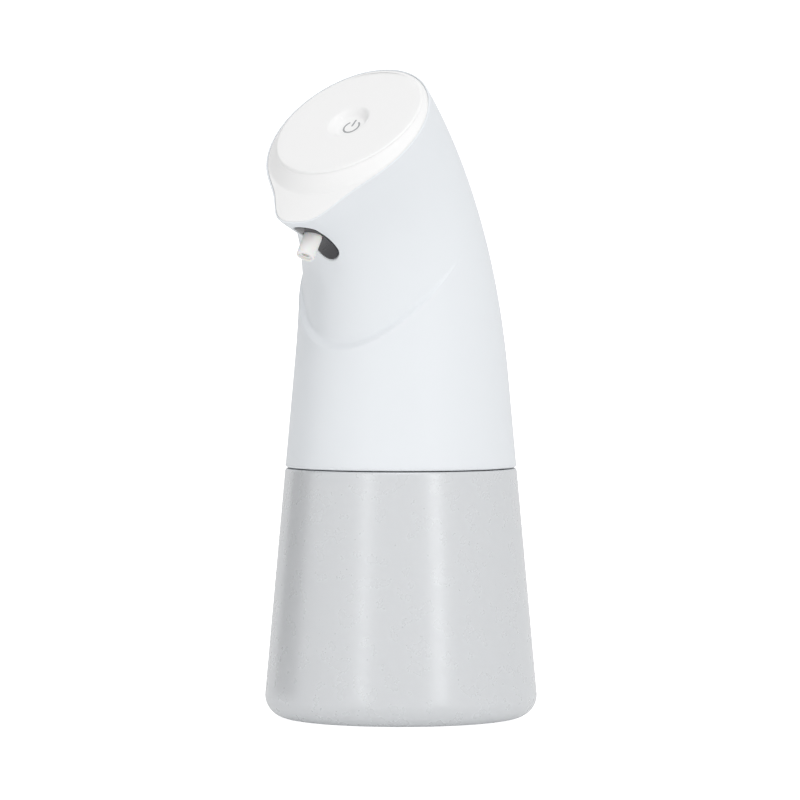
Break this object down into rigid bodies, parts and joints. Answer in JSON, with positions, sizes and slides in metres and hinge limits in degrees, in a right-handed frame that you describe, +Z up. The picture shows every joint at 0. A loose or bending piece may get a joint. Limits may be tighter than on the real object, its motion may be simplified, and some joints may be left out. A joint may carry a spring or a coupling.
{
  "type": "automatic soap dispenser",
  "caption": "Free-standing touchless soap dispenser with a tapered bottle and a leaning head that has a touch disc, a beak and a short nozzle.",
  "frame": {"origin": "centre of the bottle's flat foot, on the surface it stands on", "axes": "+Z up, -Y the front, where the beak and the nozzle point, +X to the dispenser's left"},
  "size_m": [0.0846, 0.097, 0.2005],
  "materials": {
    "frosted_bottle": "frosted, faint vertical sheen",
    "pale_shell": "glossy",
    "white_cap": "satin gloss",
    "smoked_window": "polished",
    "milky_plastic": "satin",
    "grey_moulding": "moulded",
    "silicone": "soft matte",
    "acetal": "moulded",
    "board_laminate": "solder mask",
    "black_plastic": "moulded",
    "lead_sheath": "flexible sheath",
    "ferrite": "sintered",
    "cell_foil": "laminated foil",
    "copper": "bare",
    "plated_steel": "zinc plated"
  },
  "bodies": {
    "bottle_body": {"bottle": "frosted_bottle"},
    "seal_carrier": {"neck_seal": "silicone"},
    "head": {"housing": "pale_shell", "top_cap": "white_cap", "touch_panel": "white_cap", "touch_board": "board_laminate", "touch_electrode": "copper", "light_shroud": "milky_plastic", "status_light": "milky_plastic", "sensor_window": "smoked_window", "sensor_board": "board_laminate", "ir_emitter": "smoked_window", "ir_receiver": "black_plastic", "nozzle": "milky_plastic", "outlet_hose": "silicone", "bayonet_collar": "grey_moulding", "collar_screw_1": "plated_steel", "collar_screw_2": "plated_steel", "collar_screw_3": "plated_steel", "pump_body": "grey_moulding", "pump_cover": "grey_moulding", "shaft_seal": "silicone", "idler_pin": "plated_steel", "pump_screw_1": "plated_steel", "pump_screw_2": "plated_steel", "pump_screw_3": "plated_steel", "pump_screw_4": "plated_steel", "motor_can": "plated_steel", "motor_end_cap": "black_plastic", "motor_magnet_a": "ferrite", "motor_magnet_b": "ferrite", "battery_pouch": "cell_foil", "battery_cradle": "grey_moulding", "main_board": "board_laminate", "control_chip": "black_plastic", "charge_socket": "plated_steel", "lead_header": "white_cap", "board_screw_1": "plated_steel", "board_screw_2": "plated_steel", "motor_lead_a": "lead_sheath", "motor_lead_b": "lead_sheath", "battery_lead_a": "lead_sheath", "battery_lead_b": "lead_sheath", "sensor_lead": "lead_sheath", "touch_lead": "lead_sheath", "dip_tube": "milky_plastic", "inlet_strainer": "acetal"},
    "pump_drive": {"drive_gear": "acetal", "motor_shaft": "plated_steel", "motor_rotor": "copper"},
    "pump_idler": {"idler_gear": "acetal"},
    "port_flap": {"port_cover": "silicone"}
  },
  "joints": [
    {"name": "head_lift_off", "type": "slide", "parent": "bottle_body", "child": "seal_carrier", "axis": [0, 0, 1], "range_m": [0, 0.1]},
    {"name": "head_twist", "type": "hinge", "parent": "seal_carrier", "child": "head", "pos_m": [0, 0, 0.09], "axis": [0, 0, 1], "range_deg": [0, 60]},
    {"name": "pump_drive_spin", "type": "hinge", "parent": "head", "child": "pump_drive", "pos_m": [0, 0, 0.104], "axis": [0, 0, 1], "continuous": true},
    {"name": "pump_idler_spin", "type": "hinge", "parent": "head", "child": "pump_idler", "pos_m": [-0.0093, 0, 0.104], "axis": [0, 0, 1], "continuous": true},
    {"name": "port_cover_flap", "type": "hinge", "parent": "head", "child": "port_flap", "pos_m": [0, 0.03425, 0.096], "axis": [-1, 0, 0], "range_deg": [0, 100]}
  ],
  "couplings": [
    {"joint": "pump_idler_spin", "follows": "pump_drive_spin", "ratio": -1}
  ]
}
